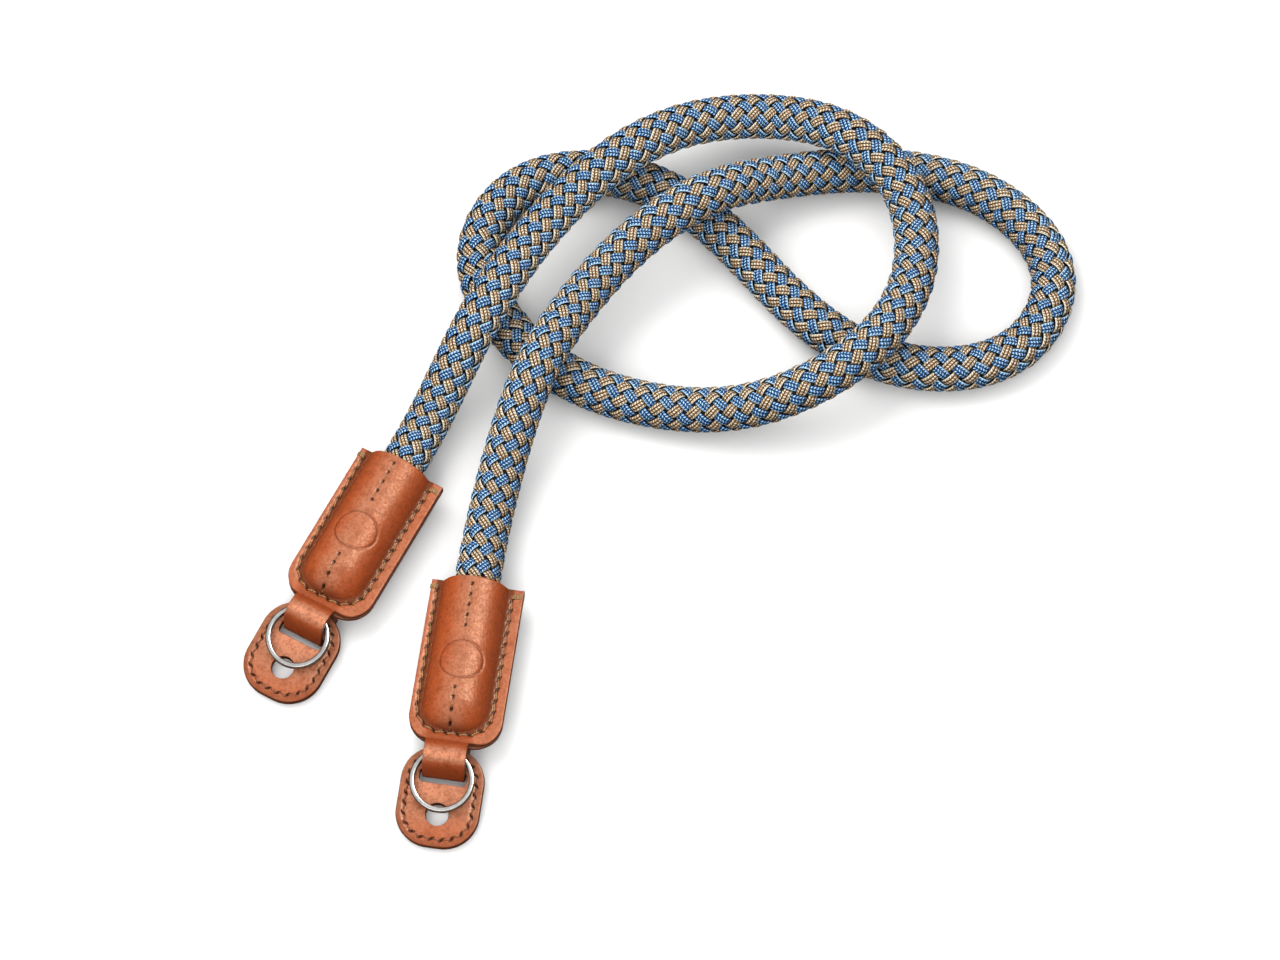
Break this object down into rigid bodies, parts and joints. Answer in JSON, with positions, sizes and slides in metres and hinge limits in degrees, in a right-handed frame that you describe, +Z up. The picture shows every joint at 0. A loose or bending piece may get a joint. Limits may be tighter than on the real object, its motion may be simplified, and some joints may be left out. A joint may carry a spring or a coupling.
{
  "type": "braided rope camera strap",
  "caption": "Coiled round braided rope strap with a moulded leather sleeve, a ring pad and a split ring at each end, for carrying a camera.",
  "frame": {"origin": "on the floor under the middle of the two leather ends, the rope left out", "axes": "+X to the right and +Y away, seen from the side that the leather ends point to; +Z up from the floor that the coil lies on"},
  "size_m": [0.1975, 0.1887, 0.024],
  "materials": {
    "braid": "braided blue and tan cotton yarn",
    "front_leather": "smooth cognac, satin, moulded",
    "back_leather": "smooth cognac, satin, moulded",
    "pad_leather": "smooth cognac, matt, burnished edge",
    "ring_steel": "satin nickel"
  },
  "bodies": {
    "strap": {"rope": "braid", "sleeve_front_left": "front_leather", "sleeve_back_left": "back_leather", "ring_pad_left": "pad_leather", "sleeve_front_right": "front_leather", "sleeve_back_right": "back_leather", "ring_pad_right": "pad_leather"},
    "ring_left": {"split_ring_left": "ring_steel"},
    "ring_right": {"split_ring_right": "ring_steel"}
  },
  "joints": [
    {"name": "ring_left_swing", "type": "hinge", "parent": "strap", "child": "ring_left", "pos_m": [-0.01746, 0.00683, 0.00659], "axis": [-0.8796, 0.4756, 0], "range_deg": [0, 115]},
    {"name": "ring_right_swing", "type": "hinge", "parent": "strap", "child": "ring_right", "pos_m": [0.01485, -0.02815, 0.00659], "axis": [-0.9895, 0.1444, 0], "range_deg": [0, 115]}
  ]
}
